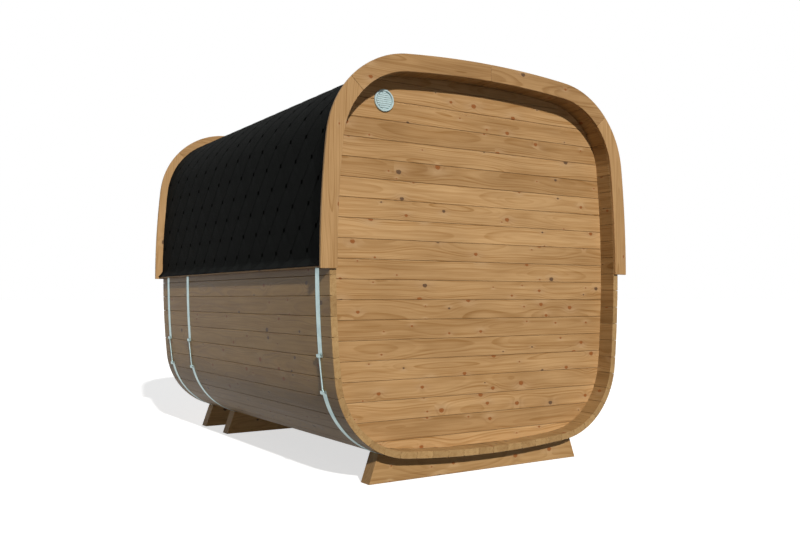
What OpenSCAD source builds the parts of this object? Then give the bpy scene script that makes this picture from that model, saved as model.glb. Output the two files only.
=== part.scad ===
// Cube sauna: a rounded-square barrel of staves lying on three cradle legs.
// +Y is the closed rear end, -Y the end with the porch and the door.
// Right is +X, left is -X. The ground is at Z = 0.

/* [Shell] */
// Length of the shell from end to end
shell_l = 3000; // [2500:10:3600]
// Width of the shell at mid-height
shell_w = 2292; // [1900:1:2600]
// Height of the shell on the centre line
shell_h = 2382; // [2000:1:2700]
// Thickness of the staves
stave_t = 42; // [28:1:60]
// Radius of the four rounded corners
corner_r = 530; // [400:10:650]
// Radius of the bowed sides
side_r = 6520; // [5500:10:8000]
// Radius of the bowed top and bottom
top_r = 6780; // [5500:10:8000]
// Height of the shell above the ground
ground_gap = 120; // [90:1:160]

/* [End walls] */
// Thickness of the end walls
wall_t = 42; // [28:1:60]
// Setback of the rear wall from the rear end
rear_recess = 119; // [60:1:200]
// Depth of the porch in front of the front wall
porch_d = 612; // [300:1:900]

/* [Door] */
// Width of the doorway
door_w = 760; // [600:10:900]
// Height of the wall left over the doorway
head_h = 408; // [300:1:500]
// Height of the doorway's foot above the shell's inner face
sill_h = 70; // [50:1:120]
// Thickness of the door leaf
leaf_t = 40; // [30:1:42]
// Width of the door frame's boards
frame_w = 60; // [40:1:80]
// How far the door frame stands out of the wall's front
frame_proud = 15; // [8:1:25]
// Diameter of the door handle's bar
handle_d = 28; // [20:1:36]
// Length of the door handle
handle_l = 320; // [200:10:450]

/* [Vent] */
// Diameter of the vent's flange
vent_d = 136; // [110:1:160]
// Diameter of the hole through the wall
vent_hole_d = 100; // [80:1:105]
// Distance of the vent from the shell's inner side
vent_in = 385; // [360:1:600]
// Distance of the vent below the shell's inner top
vent_drop = 188; // [180:1:400]

/* [Fascia] */
// Thickness of the fascia boards
fascia_t = 18; // [12:1:30]
// How far the fascia stands outside the shell
fascia_out = 65; // [50:1:90]
// Distance of the fascia's lower ends below mid-height
fascia_drop = 58; // [30:1:120]
// Mitre angle of the fascia's upper corner joints
mitre = 43; // [20:1:70]

/* [Roof] */
// Thickness of the shingle roof
roof_t = 12; // [8:1:20]
// Distance of the eave's underside below mid-height
eave_drop = 50; // [20:1:100]
// How far the eave wedge stands out of the shell
eave_out = 38; // [25:1:45]

/* [Straps] */
// Width of the steel straps
strap_w = 48; // [30:1:60]
// Thickness of the steel straps
strap_t = 2; // [1.5:0.1:4]
// Distance of the rear strap from the rear end
strap_rear = 148; // [110:1:200]
// Distance of the front strap from the front end
strap_front = 150; // [110:1:200]
// Distance of the middle strap from the front end
strap_mid = 632; // [500:1:900]
// Height of the upper lugs above the lower corners
lug_rise = 130; // [60:1:160]
// Distance between the upper and the lower lugs
lug_gap = 190; // [150:1:220]
// Distance the lugs stand out of the shell
lug_out = 16; // [12:1:24]
// Diameter of the tension rods
rod_d = 10; // [8:1:14]

/* [Legs] */
// Thickness of the cradle legs
leg_t = 100; // [60:1:140]
// Width of a leg on the ground
leg_w = 1646; // [1300:1:1800]
// Inward lean of a leg's ends
leg_lean = 19.5; // [10:0.5:30]
// Distance of the rear leg from its strap, forward
leg_shift = 10; // [0:1:20]

/* [Hidden] */
$fn = 48;
// smoothness of the corner arcs and of the wide side arcs
arc_fn = 240;
fine_fn = 1440;
fine_r = 2000;
half_l = shell_l / 2;
a = shell_w / 2;
b = shell_h / 2;
mid_z = ground_gap + b;
// centres of the right side arc and of the top arc
ax = a - side_r;
bz = b - top_r;
// centre of the upper right corner arc, tangent inside both
ra = side_r - corner_r;
rb = top_r - corner_r;
cd = sqrt(ax * ax + bz * bz);
cu = (ra * ra - rb * rb + cd * cd) / (2 * cd);
ch = sqrt(ra * ra - cu * cu);
cx = ax - cu * ax / cd - ch * bz / cd;
cz = cu * bz / cd - ch * ax / cd;
// angles at which the arcs meet
side_ang = atan2(cz, cx - ax);
top_ang = atan2(cz - bz, cx);
// play between the round shell and what is laid on it in flats
lay = 0.2;
corner_staves = 7;
stave_joint = 0.3;
side_n = 8;
corner_n = 26;
// rear wall and front wall
rear_y = half_l - rear_recess;
vent_x = a - stave_t - vent_in;
vent_up = b - stave_t - vent_drop;
front_y = -half_l + porch_d;
// doorway
in_floor = mid_z - b + stave_t;
door_z = in_floor + sill_h;
door_h = shell_h - 2 * stave_t - sill_h - head_h;
door_gap = 3;
frame_in = 12;
// straps
strap_ys = [-half_l + strap_front, -half_l + strap_mid, half_l - strap_rear];
lug_t = 20;
lug_z1 = lug_rise - cz - corner_r * sin(side_ang);
lug_z2 = lug_z1 - lug_gap;
strap_clear = 0.3;
strap_top = lay + strap_t + strap_clear;
// eave
eave_z = -eave_drop;
eave_edge = 4;
eave_ang = atan2(eave_drop - eave_edge, eave_out);
shingle_t = 6;

// ---- section helpers, drawn with mid-height at y = 0 ----

function polar(r, t) = [r * cos(t), r * sin(t)];

// part of a ring between two radii and two angles
module sector(c, r0, r1, t0, t1) {
    reach = 1.5 * r1;
    $fn = r1 > fine_r ? fine_fn : arc_fn;
    intersection() {
        difference() {
            translate(c) circle(r1);
            translate(c) circle(r0);
        }
        polygon([c, c + polar(reach, t0), c + polar(reach, (t0 + t1) / 2), c + polar(reach, t1)]);
    }
}

// points along an arc, the first one left out when from = 1
function arc(c, r, t0, t1, n, from = 0) =
    [for (i = [from:n]) c + polar(r, t0 + (t1 - t0) * i / n)];

// points at an offset from the shell's outer face, on the right side,
// round the upper right corner, and on over the top
function side_path(o, t0 = 0) = t0 < 0
    ? concat(arc([ax, 0], side_r + o, t0, 0, side_n), arc([ax, 0], side_r + o, 0, side_ang, side_n, 1))
    : arc([ax, 0], side_r + o, 0, side_ang, side_n);
function corner_path(o, t0 = side_ang, t1 = top_ang, from = 1) =
    arc([cx, cz], corner_r + o, t0, t1, corner_n, from);
function top_path(o, t0 = top_ang, t1 = 90, from = 1) = arc([0, bz], top_r + o, t0, t1, side_n, from);

function back(p) = [for (i = [len(p) - 1:-1:0]) p[i]];
function past(p) = [for (i = [1:len(p) - 1]) p[i]];
function swap(p, sx, sy) = [for (q = p) [sx * q[0], sy * q[1]]];

// a path that ends on the centre line, carried on by its mirror image
function over(p) = concat(p, past(back(swap(p, -1, 1))));

// flat strip between two paths
module strip(p, q) {
    polygon(concat(p, back(q)));
}

// filled section at an offset from the shell's outer face
module filled(o) {
    half = over(concat(side_path(o), corner_path(o), top_path(o)));
    polygon(concat(half, past(back(past(swap(half, 1, -1))))));
}

// stands a section up at mid-height, from y0 to y1
module upright(y0, y1) {
    translate([0, y1, mid_z]) rotate([90, 0, 0]) linear_extrude(height = y1 - y0) children();
}

module left_side() {
    mirror([1, 0, 0]) children();
}

module around(y, w) {
    upright(y - w / 2, y + w / 2) children();
}

// ---- shell ----

module shell_side() {
    color("BurlyWood") upright(-half_l, half_l)
        sector([ax, 0], side_r - stave_t, side_r, -side_ang, side_ang);
}

// a corner is bent round in narrow staves
module shell_corner(up) {
    step = (top_ang - side_ang) / corner_staves;
    slit = stave_joint * 90 / (PI * corner_r);
    color("BurlyWood") for (i = [0:corner_staves - 1]) upright(-half_l, half_l) mirror([0, up ? 0 : 1])
        sector([cx, cz], corner_r - stave_t, corner_r, 
            side_ang + i * step + slit, side_ang + (i + 1) * step - slit);
}

module shell_flat(up) {
    color("BurlyWood") upright(-half_l, half_l) mirror([0, up ? 0 : 1])
        sector([0, bz], top_r - stave_t, top_r, top_ang, 180 - top_ang);
}

module shell_bottom() { shell_flat(false); }
module shell_top() { shell_flat(true); }
module shell_right() { shell_side(); }
module shell_left() { left_side() shell_side(); }
module shell_low_right() { shell_corner(false); }
module shell_low_left() { left_side() shell_corner(false); }
module shell_high_right() { shell_corner(true); }
module shell_high_left() { left_side() shell_corner(true); }

// ---- rear wall and vent ----

module rear_wall() {
    color("Wheat") difference() {
        upright(rear_y - wall_t, rear_y) filled(-stave_t);
        vent_axis(rear_y) cylinder(d = vent_hole_d, h = 3 * wall_t, center = true);
    }
}

module vent_axis(y) {
    translate([vent_x, y, mid_z + vent_up]) rotate([-90, 0, 0]) children();
}

vent_flange = 12;
vent_tube = 3;
vent_back = 3;
vent_play = 0.3;
vent_bore = (vent_d + vent_hole_d) / 2 - 2 * vent_tube;
slat_count = 9;
slat_pitch = vent_bore / slat_count;
slat_h = 0.8 * slat_pitch;
slat_t = 4;
slat_y = 5;
rib_w = 4;
rib_t = slat_y - vent_back + 0.5;

module vent_ring() {
    color("LightCyan") vent_axis(rear_y) difference() {
        union() {
            cylinder(d = vent_d, h = vent_flange);
            translate([0, 0, -wall_t]) cylinder(d = vent_hole_d, h = wall_t + vent_flange);
        }
        translate([0, 0, -wall_t - 1])
            cylinder(d = vent_hole_d - 2 * vent_tube, h = wall_t + vent_flange + 2);
        translate([0, 0, vent_back]) cylinder(d = vent_bore, h = vent_flange);
    }
}
// Level slats across the ring, held by two upright ribs behind them
module vent_grille() {
    color("LightCyan") vent_axis(rear_y) intersection() {
        translate([0, 0, vent_back]) cylinder(d = vent_bore - 2 * vent_play, h = vent_flange);
        union() {
            for (i = [0:slat_count - 1])
                translate([-vent_d / 2, (i + 0.5 - slat_count / 2) * slat_pitch - slat_h / 2, slat_y])
                    cube([vent_d, slat_h, slat_t]);
            for (x = [-vent_bore / 4, vent_bore / 4])
                translate([x - rib_w / 2, -vent_d / 2, vent_back]) cube([rib_w, vent_d, rib_t]);
        }
    }
}

// ---- front wall and door ----

module front_part(x0, x1, z0, z1) {
    color("Wheat") intersection() {
        upright(front_y, front_y + wall_t) filled(-stave_t);
        translate([x0, front_y - 1, z0]) cube([x1 - x0, wall_t + 2, z1 - z0]);
    }
}

module front_wall_right() { front_part(door_w / 2, a, 0, 2 * mid_z); }
module front_wall_left() { front_part(-a, -door_w / 2, 0, 2 * mid_z); }
module front_wall_head() { front_part(-door_w / 2, door_w / 2, door_z + door_h, 2 * mid_z); }
module front_wall_sill() { front_part(-door_w / 2, door_w / 2, 0, door_z); }

// the frame lines the doorway and laps the wall in front
module door_frame() {
    color("Wheat") difference() {
        union() {
            translate([-door_w / 2, front_y, door_z]) cube([door_w, wall_t, door_h]);
            translate([-door_w / 2 - frame_w + frame_in, front_y - frame_proud, door_z - frame_w + frame_in])
                cube([door_w + 2 * (frame_w - frame_in), frame_proud, door_h + 2 * (frame_w - frame_in)]);
        }
        translate([-door_w / 2 + frame_in, front_y - frame_proud - 1, door_z + frame_in])
            cube([door_w - 2 * frame_in, wall_t + frame_proud + 2, door_h - 2 * frame_in]);
    }
}

leaf_in = frame_in + door_gap;
leaf_y = front_y - frame_proud;

module door_leaf() {
    color("Peru") translate([-door_w / 2 + leaf_in, leaf_y, door_z + leaf_in])
        cube([door_w - 2 * leaf_in, leaf_t, door_h - 2 * leaf_in]);
}

handle_off = 45;
handle_x = -door_w / 2 + leaf_in + 70;
handle_z = door_z + door_h / 2;

module door_handle() {
    color("SaddleBrown") translate([handle_x, leaf_y, handle_z]) {
        translate([0, -handle_off, -handle_l / 2]) cylinder(d = handle_d, h = handle_l);
        for (s = [-1, 1]) translate([0, 0, s * handle_l / 3])
            rotate([90, 0, 0]) cylinder(d = handle_d * 0.7, h = handle_off);
    }
}

hinge_h = 90;
hinge_w = 36;
hinge_t = 3;
hinge_d = 14;

// two leaf hinges across the joint between door and frame
module door_hinges() {
    color("Silver") for (s = [0.12, 0.88])
        translate([door_w / 2 - leaf_in + door_gap / 2, leaf_y, door_z + s * door_h - hinge_h / 2]) {
            translate([-hinge_w, -hinge_t, 0]) cube([2 * hinge_w, hinge_t, hinge_h]);
            translate([0, -hinge_d / 2, 0]) cylinder(d = hinge_d, h = hinge_h);
        }
}

// ---- roof ----

// the shingle skin over one side and corner, notched under for the straps;
// the last course is pressed outward over the eave wedge
module roof_side() {
    lip = [shingle_t * sin(eave_ang), shingle_t * cos(eave_ang)];
    tip = [a + eave_out, eave_z + eave_edge];
    knee = [a + roof_t, lip[1] - (roof_t - lip[0]) * tan(eave_ang)];
    color("DimGray") difference() {
        upright(-half_l, half_l) strip(
            concat([tip, tip + lip, knee], side_path(roof_t), corner_path(roof_t)),
            concat(side_path(lay), corner_path(lay)));
        for (y = strap_ys) around(y, strap_w + 2 * strap_clear)
            strip(concat(side_path(strap_top, -1), corner_path(strap_top, side_ang, top_ang + 1)),
                concat(side_path(-1, -1), corner_path(-1, side_ang, top_ang + 1)));
    }
}

module roof_top() {
    color("DimGray") difference() {
        upright(-half_l, half_l)
            strip(over(top_path(roof_t, from = 0)), over(top_path(lay, from = 0)));
        for (y = strap_ys) around(y, strap_w + 2 * strap_clear)
            strip(over(top_path(strap_top, top_ang - 1, from = 0)), over(top_path(-1, top_ang - 1, from = 0)));
    }
}

module roof_right() { roof_side(); }
module roof_left() { left_side() roof_side(); }

// wooden wedge under the last course, notched behind for the straps
module eave() {
    color("Tan") difference() {
        upright(-half_l, half_l)
            polygon([[a, 0], [a + eave_out, eave_z + eave_edge], [a + eave_out, eave_z], [a, eave_z]]);
        for (y = strap_ys)
            translate([a, y, mid_z + eave_z]) cube([2 * (strap_t + strap_clear), strap_w + 2 * strap_clear,
                4 * eave_drop], center = true);
    }
}

module eave_right() { eave(); }
module eave_left() { left_side() eave(); }

// ---- fascia ----

drop_ang = asin(fascia_drop / side_r);

function low_path(o) = concat(side_path(o, -drop_ang), corner_path(o, side_ang, mitre));
function high_path(o) = concat(corner_path(o, mitre, top_ang, 0), top_path(o));

module fascia_low(y) {
    color("Tan") upright(y, y + fascia_t) strip(low_path(fascia_out), low_path(-stave_t));
}

module fascia_high(y) {
    color("Tan") upright(y, y + fascia_t) strip(high_path(fascia_out), high_path(-stave_t));
}

module fascia_rear_right() { fascia_low(half_l); }
module fascia_rear_top_right() { fascia_high(half_l); }
module fascia_rear_left() { left_side() fascia_low(half_l); }
module fascia_rear_top_left() { left_side() fascia_high(half_l); }
module fascia_front_right() { fascia_low(-half_l - fascia_t); }
module fascia_front_top_right() { fascia_high(-half_l - fascia_t); }
module fascia_front_left() { left_side() fascia_low(-half_l - fascia_t); }
module fascia_front_top_left() { left_side() fascia_high(-half_l - fascia_t); }

// ---- straps ----

// a steel band along a path from a lug to the centre line, and its mirror image
function upper_path(o) = concat(side_path(o, asin(lug_z1 / side_r)), corner_path(o), top_path(o));
function lower_path(o) = swap(concat(corner_path(o, lower_t, from = 0), top_path(o)), 1, -1);

// over the top, from lug to lug, under the roof
module strap_upper(y) {
    color("LightSteelBlue") {
        around(y, strap_w) strip(over(upper_path(lay + strap_t)), over(upper_path(lay)));
        for (m = [0, 1]) mirror([m, 0, 0]) lug(y, lug_z1, 1);
    }
}

// round the bottom, from lug to lug
module strap_lower(y) {
    color("LightSteelBlue") {
        around(y, strap_w) strip(over(lower_path(lay + strap_t)), over(lower_path(lay)));
        for (m = [0, 1]) mirror([m, 0, 0]) lug(y, lug_z2, -1);
    }
}

// angle of the lower lug on the corner arc
lower_t = asin((-lug_z2 - cz) / corner_r);

// block at a strap's end, standing out of the shell at height z
module lug(y, z, up) {
    foot = shell_x(z) + lay;
    around(y, strap_w) polygon([[foot, z], [foot + lug_out, z],
        [foot + lug_out, z + up * lug_t], [shell_x(z + up * lug_t) + lay, z + up * lug_t]]);
}

// half width of the shell's outer face at a height from mid-height
function shell_x(z) = abs(z) < side_r * sin(side_ang)
    ? ax + sqrt(side_r * side_r - z * z)
    : cx + sqrt(corner_r * corner_r - (abs(z) - cz) * (abs(z) - cz));

// one tension rod a side between the lugs
module strap_rods(y) {
    color("Silver") for (m = [0, 1]) mirror([m, 0, 0])
        rod(y, [shell_x(lug_z1) + lug_out / 2, lug_z1], [shell_x(lug_z2) + lug_out / 2, lug_z2]);
}

module rod(y, p, q) {
    len = norm(p - q);
    tilt = atan2(p[0] - q[0], p[1] - q[1]);
    translate([q[0], y, mid_z + q[1]]) rotate([0, tilt, 0]) cylinder(d = rod_d, h = len);
}

module strap_front_upper() { strap_upper(strap_ys[0]); }
module strap_front_lower() { strap_lower(strap_ys[0]); }
module strap_front_rods() { strap_rods(strap_ys[0]); }
module strap_middle_upper() { strap_upper(strap_ys[1]); }
module strap_middle_lower() { strap_lower(strap_ys[1]); }
module strap_middle_rods() { strap_rods(strap_ys[1]); }
module strap_rear_upper() { strap_upper(strap_ys[2]); }
module strap_rear_lower() { strap_lower(strap_ys[2]); }
module strap_rear_rods() { strap_rods(strap_ys[2]); }

// ---- legs ----

leg_h = 400;

// a cradle board with leaning ends, cut to the strap round the shell
module leg(y) {
    foot = leg_w / 2;
    top = foot - leg_h * tan(leg_lean);
    color("Tan") around(y, leg_t) difference() {
        translate([0, -mid_z]) polygon([[-foot, 0], [foot, 0], [top, leg_h], [-top, leg_h]]);
        filled(strap_top);
    }
}

module leg_front() { leg(strap_ys[0] - leg_shift); }
module leg_middle() { leg(strap_ys[1] - leg_shift); }
module leg_rear() { leg(strap_ys[2] - leg_shift); }

shell_bottom();
shell_low_left();
shell_low_right();
shell_left();
shell_right();
shell_high_left();
shell_high_right();
shell_top();
rear_wall();
vent_ring();
vent_grille();
front_wall_left();
front_wall_right();
front_wall_head();
front_wall_sill();
door_frame();
door_leaf();
door_handle();
door_hinges();
roof_left();
roof_top();
roof_right();
eave_left();
eave_right();
fascia_rear_left();
fascia_rear_top_left();
fascia_rear_top_right();
fascia_rear_right();
fascia_front_left();
fascia_front_top_left();
fascia_front_top_right();
fascia_front_right();
strap_rear_upper();
strap_rear_lower();
strap_rear_rods();
strap_middle_upper();
strap_middle_lower();
strap_middle_rods();
strap_front_upper();
strap_front_lower();
strap_front_rods();
leg_rear();
leg_middle();
leg_front();
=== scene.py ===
import math
import random
import bpy
import bmesh
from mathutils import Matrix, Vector


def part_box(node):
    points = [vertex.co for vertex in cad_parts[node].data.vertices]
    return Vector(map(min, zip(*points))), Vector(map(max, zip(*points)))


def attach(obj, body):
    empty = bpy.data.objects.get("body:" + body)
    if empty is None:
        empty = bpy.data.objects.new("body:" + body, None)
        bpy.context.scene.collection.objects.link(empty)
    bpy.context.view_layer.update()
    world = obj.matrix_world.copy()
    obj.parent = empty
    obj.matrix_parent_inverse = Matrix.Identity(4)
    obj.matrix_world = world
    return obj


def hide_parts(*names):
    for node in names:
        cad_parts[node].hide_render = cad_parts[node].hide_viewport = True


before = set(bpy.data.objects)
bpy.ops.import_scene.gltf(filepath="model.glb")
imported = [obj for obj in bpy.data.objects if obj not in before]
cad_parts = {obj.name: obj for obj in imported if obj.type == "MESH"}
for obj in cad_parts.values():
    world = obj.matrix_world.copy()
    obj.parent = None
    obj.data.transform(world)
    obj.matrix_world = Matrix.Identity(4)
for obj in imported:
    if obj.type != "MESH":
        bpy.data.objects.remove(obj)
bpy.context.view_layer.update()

# Metres. X runs across the barrel, Y along it with the closed rear end at +Y, Z is up.
# A place on the section is an arc length s, going up from mid-height on the right (+X) and over
# the top, and an offset out from the shell's outer face.

RND = random.Random(7)
FAR = 9.0                   # past the shell on any side
HAND = {1: "right", -1: "left"}

# ---- sizes
HALF_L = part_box("shell_right")[1][1]
HALF_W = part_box("shell_right")[1][0]
Z_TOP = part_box("shell_top")[1][2]
Z_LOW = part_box("shell_bottom")[0][2]
HALF_H = (Z_TOP - Z_LOW) / 2
MID = (Z_TOP + Z_LOW) / 2
STAVE_T = 0.042
WALL_T = 0.042
REAR_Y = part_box("rear_wall")[1][1]
FRONT_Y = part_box("front_wall_left")[0][1]
FASCIA_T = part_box("fascia_rear_left")[1][1] - HALF_L
FASCIA_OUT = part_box("fascia_rear_right")[1][0] - HALF_W

# the section's three arcs: the side's centre is (SIDE_X, 0), the top's (0, TOP_Z), and the
# corner's (CORNER_X, CORNER_Z) is where it touches both from inside
R_SIDE, R_TOP, R_CORNER = 6.52, 6.78, 0.53
SIDE_X, TOP_Z = HALF_W - R_SIDE, HALF_H - R_TOP


def corner_centre():
    to_side, to_top = R_SIDE - R_CORNER, R_TOP - R_CORNER
    apart = math.hypot(SIDE_X, TOP_Z)
    foot = (to_side ** 2 - to_top ** 2 + apart ** 2) / (2 * apart)
    rise = math.sqrt(to_side ** 2 - foot ** 2)
    return (SIDE_X - foot * SIDE_X / apart - rise * TOP_Z / apart,
            foot * TOP_Z / apart - rise * SIDE_X / apart)


CORNER_X, CORNER_Z = corner_centre()
SIDE_ANG = math.atan2(CORNER_Z, CORNER_X - SIDE_X)
TOP_ANG = math.atan2(CORNER_Z - TOP_Z, CORNER_X)
SIDE_LEN = R_SIDE * SIDE_ANG
CORNER_LEN = R_CORNER * (TOP_ANG - SIDE_ANG)
QUARTER = SIDE_LEN + CORNER_LEN + R_TOP * (math.pi / 2 - TOP_ANG)
ROUND = 4 * QUARTER


def quarter_point(t, off):
    """Point on the upper right quarter, t metres up from mid-height and off metres out."""
    if t < SIDE_LEN:
        x, z, r, g = SIDE_X, 0.0, R_SIDE, t / R_SIDE
    elif t < SIDE_LEN + CORNER_LEN:
        x, z, r, g = CORNER_X, CORNER_Z, R_CORNER, SIDE_ANG + (t - SIDE_LEN) / R_CORNER
    else:
        x, z, r, g = 0.0, TOP_Z, R_TOP, TOP_ANG + (t - SIDE_LEN - CORNER_LEN) / R_TOP
    return x + (r + off) * math.cos(g), z + (r + off) * math.sin(g)


def sec(s, off=0.0):
    """World (x, z) at arc length s going up from mid-height on the right, and off metres out."""
    s = s % ROUND
    q = min(3, int(s // QUARTER))
    t = s - q * QUARTER
    if q % 2:
        t = QUARTER - t
    x, z = quarter_point(t, off)
    sx = 1 if q in (0, 3) else -1
    sz = 1 if q in (0, 1) else -1
    return sx * x, MID + sz * z


def half_width(z, off):
    """Half width of the section at height z above mid-height, off metres out."""
    z = abs(z)
    r = R_CORNER + off
    if z <= CORNER_Z + r * math.sin(SIDE_ANG):
        return SIDE_X + math.sqrt((R_SIDE + off) ** 2 - z * z)
    if z <= CORNER_Z + r * math.sin(TOP_ANG):
        return CORNER_X + math.sqrt(max(0.0, r * r - (z - CORNER_Z) ** 2))
    return math.sqrt(max(0.0, (R_TOP + off) ** 2 - (z - TOP_Z) ** 2))


# ---- mesh builder
SMOOTH_ANG = math.radians(28)


class Build:
    """Collects closed solids in one mesh, each vertex with wood coordinates and a tone."""

    def __init__(self):
        self.v, self.f, self.g, self.t = [], [], [], []

    def solid(self, rings, grain, tone, caps=True):
        """Rings of equal length joined into a closed skin; grain maps a point to wood coordinates."""
        base, n = len(self.v), len(rings[0])
        for ring in rings:
            for p in ring:
                self.v.append(tuple(p))
                self.g.append(grain(p))
                self.t.append(tone(p) if callable(tone) else tone)
        for i in range(len(rings) - 1):
            for j in range(n):
                a, b = base + i * n + j, base + i * n + (j + 1) % n
                self.f.append((a, b, b + n, a + n))
        if caps:
            self.f.append(tuple(base + j for j in range(n - 1, -1, -1)))
            last = base + (len(rings) - 1) * n
            self.f.append(tuple(last + j for j in range(n)))

    def make(self, name, material, slot, *nodes):
        """One piece of all the solids, standing in for the named CAD nodes."""
        mesh = bpy.data.meshes.new(name)
        mesh.from_pydata(self.v, [], self.f)
        mesh.update()
        g = mesh.attributes.new("grain", "FLOAT_VECTOR", "POINT")
        g.data.foreach_set("vector", [c for p in self.g for c in p])
        t = mesh.attributes.new("tone", "FLOAT", "POINT")
        t.data.foreach_set("value", self.t)
        bm = bmesh.new()
        bm.from_mesh(mesh)
        bmesh.ops.recalc_face_normals(bm, faces=bm.faces)
        for face in bm.faces:
            face.smooth = True
        for edge in bm.edges:
            if len(edge.link_faces) == 2:
                edge.smooth = edge.calc_face_angle(0) < SMOOTH_ANG
        bm.to_mesh(mesh)
        bm.free()
        mesh.materials.append(material)
        obj = bpy.data.objects.new(name, mesh)
        bpy.context.scene.collection.objects.link(obj)
        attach(obj, "root")
        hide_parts(*nodes)
        return obj


def inset(poly, d):
    """A closed polygon moved inward by d, with the corners mitred."""
    if d == 0:
        return poly
    n = len(poly)
    area = sum(poly[i][0] * poly[(i + 1) % n][1] - poly[(i + 1) % n][0] * poly[i][1] for i in range(n))
    sign = 1 if area > 0 else -1
    out = []
    for i in range(n):
        p, q, r = Vector(poly[i - 1]), Vector(poly[i]), Vector(poly[(i + 1) % n])
        e1, e2 = (q - p).normalized(), (r - q).normalized()
        n1, n2 = Vector((-e1.y, e1.x)) * sign, Vector((-e2.y, e2.x)) * sign
        m = n1 + n2
        k = d / max(0.35, m.length_squared / 2)
        out.append(tuple(q + m * k))
    return out


def random_grain(axis, centre, spread=0.05, depth=(0.015, 0.09)):
    """Wood coordinates for one board: along, across and through it, from its own pith."""
    along = RND.uniform(0, 80)
    v0 = RND.uniform(-spread, spread)
    w0 = RND.uniform(*depth) * RND.choice((-1, 1))
    cx, cy, cz = centre

    def grain(p):
        d = (p[0] - cx, p[1] - cy, p[2] - cz)
        if axis == "x":
            return (d[0] + along, d[2] + v0, d[1] + w0)
        if axis == "z":
            return (d[2] + along, d[0] + v0, d[1] + w0)
        return (d[1] + along, d[0] + v0, d[2] + w0)
    return grain


# ---- materials
class Nodes:
    """Writes one node tree."""

    def __init__(self, tree):
        self.tree = tree
        tree.nodes.clear()

    def new(self, kind, **props):
        node = self.tree.nodes.new(kind)
        for k, v in props.items():
            setattr(node, k, v)
        return node

    def put(self, socket, value):
        if isinstance(value, bpy.types.NodeSocket):
            self.tree.links.new(value, socket)
        else:
            socket.default_value = value

    def attr(self, name, out):
        return self.new("ShaderNodeAttribute", attribute_name=name).outputs[out]

    def math(self, op, a, b=None, c=None, clamp=False):
        node = self.new("ShaderNodeMath", operation=op, use_clamp=clamp)
        for i, v in enumerate((a, b, c)):
            if v is not None:
                self.put(node.inputs[i], v)
        return node.outputs[0]

    def add(self, a, b, clamp=False):
        return self.math("ADD", a, b, clamp=clamp)

    def sub(self, a, b):
        return self.math("SUBTRACT", a, b)

    def mul(self, a, b):
        return self.math("MULTIPLY", a, b)

    def div(self, a, b):
        return self.math("DIVIDE", a, b)

    def mad(self, a, b, c):
        """a times b, plus c."""
        return self.math("MULTIPLY_ADD", a, b, c)

    def square(self, a):
        return self.math("POWER", a, 2.0)

    def length(self, a, b):
        return self.math("SQRT", self.add(self.square(a), self.square(b)))

    def fall(self, a):
        """1 where a is 0, falling off exponentially."""
        return self.math("EXPONENT", self.mul(a, -1.0))

    def sway(self, noise, amount):
        """A noise centred on 0 and scaled."""
        return self.mul(self.sub(noise, 0.5), amount)

    def vec(self, x, y, z):
        node = self.new("ShaderNodeCombineXYZ")
        for i, v in enumerate((x, y, z)):
            self.put(node.inputs[i], v)
        return node.outputs[0]

    def split(self, v):
        node = self.new("ShaderNodeSeparateXYZ")
        self.put(node.inputs[0], v)
        return node.outputs

    def noise(self, vector, scale=1.0, detail=2.0, rough=0.5, dim="3D"):
        node = self.new("ShaderNodeTexNoise", noise_dimensions=dim)
        self.put(node.inputs["W" if dim == "1D" else "Vector"], vector)
        node.inputs["Scale"].default_value = scale
        node.inputs["Detail"].default_value = detail
        node.inputs["Roughness"].default_value = rough
        return node.outputs[0]

    def span(self, value, a, b, c=0.0, d=1.0, smooth=True):
        """The value's range a to b mapped to c to d, and held there outside it."""
        node = self.new("ShaderNodeMapRange", interpolation_type="SMOOTHSTEP" if smooth else "LINEAR")
        self.put(node.inputs[0], value)
        for i, v in enumerate((a, b, c, d)):
            self.put(node.inputs[i + 1], v)
        return node.outputs[0]

    def mix(self, fac, a, b, kind="MIX"):
        node = self.new("ShaderNodeMix", data_type="RGBA", blend_type=kind)
        self.put(node.inputs[0], fac)
        self.put(node.inputs[6], a)
        self.put(node.inputs[7], b)
        return node.outputs[2]

    def seen(self, path):
        """1 for a ray from the camera, a reflection or glass, 0 for one that only gathers light."""
        mirrored = self.math("MAXIMUM", path.outputs["Is Glossy Ray"], path.outputs["Is Transmission Ray"])
        return self.math("MAXIMUM", path.outputs["Is Camera Ray"], mirrored)


class Surface(Nodes):
    """A material with one Principled shader."""

    def __init__(self, name):
        self.mat = bpy.data.materials.new(name)
        self.mat.use_nodes = True
        super().__init__(self.mat.node_tree)
        self.out = self.new("ShaderNodeOutputMaterial")
        self.bsdf = self.new("ShaderNodeBsdfPrincipled")
        self.put(self.out.inputs[0], self.bsdf.outputs[0])

    def look(self, color, rough):
        self.put(self.bsdf.inputs["Base Color"], color)
        self.put(self.bsdf.inputs["Roughness"], rough)

    def bump(self, height, strength, distance):
        node = self.new("ShaderNodeBump")
        node.inputs["Strength"].default_value = strength
        node.inputs["Distance"].default_value = distance
        self.put(node.inputs["Height"], height)
        self.put(self.bsdf.inputs["Normal"], node.outputs[0])


def rgb(r, g, b):
    return (r, g, b, 1.0)


def tinted(color, *by):
    return rgb(*(c * k for c, k in zip(color, by)))


RING_SHARE, STREAK_SHARE, FIBRE_SHARE, LINE_SHARE = 0.54, 0.44, 0.4, 0.6
CLOUD_SHARE = 0.52
KNOT_CELL = (3.4, 9.0)      # cells for each metre along and across the grain
RED_KNOT = ((0.33, 0.105, 0.022), (0.19, 0.058, 0.012))
DARK_KNOT = ((0.13, 0.07, 0.036), (0.06, 0.032, 0.018))


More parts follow.
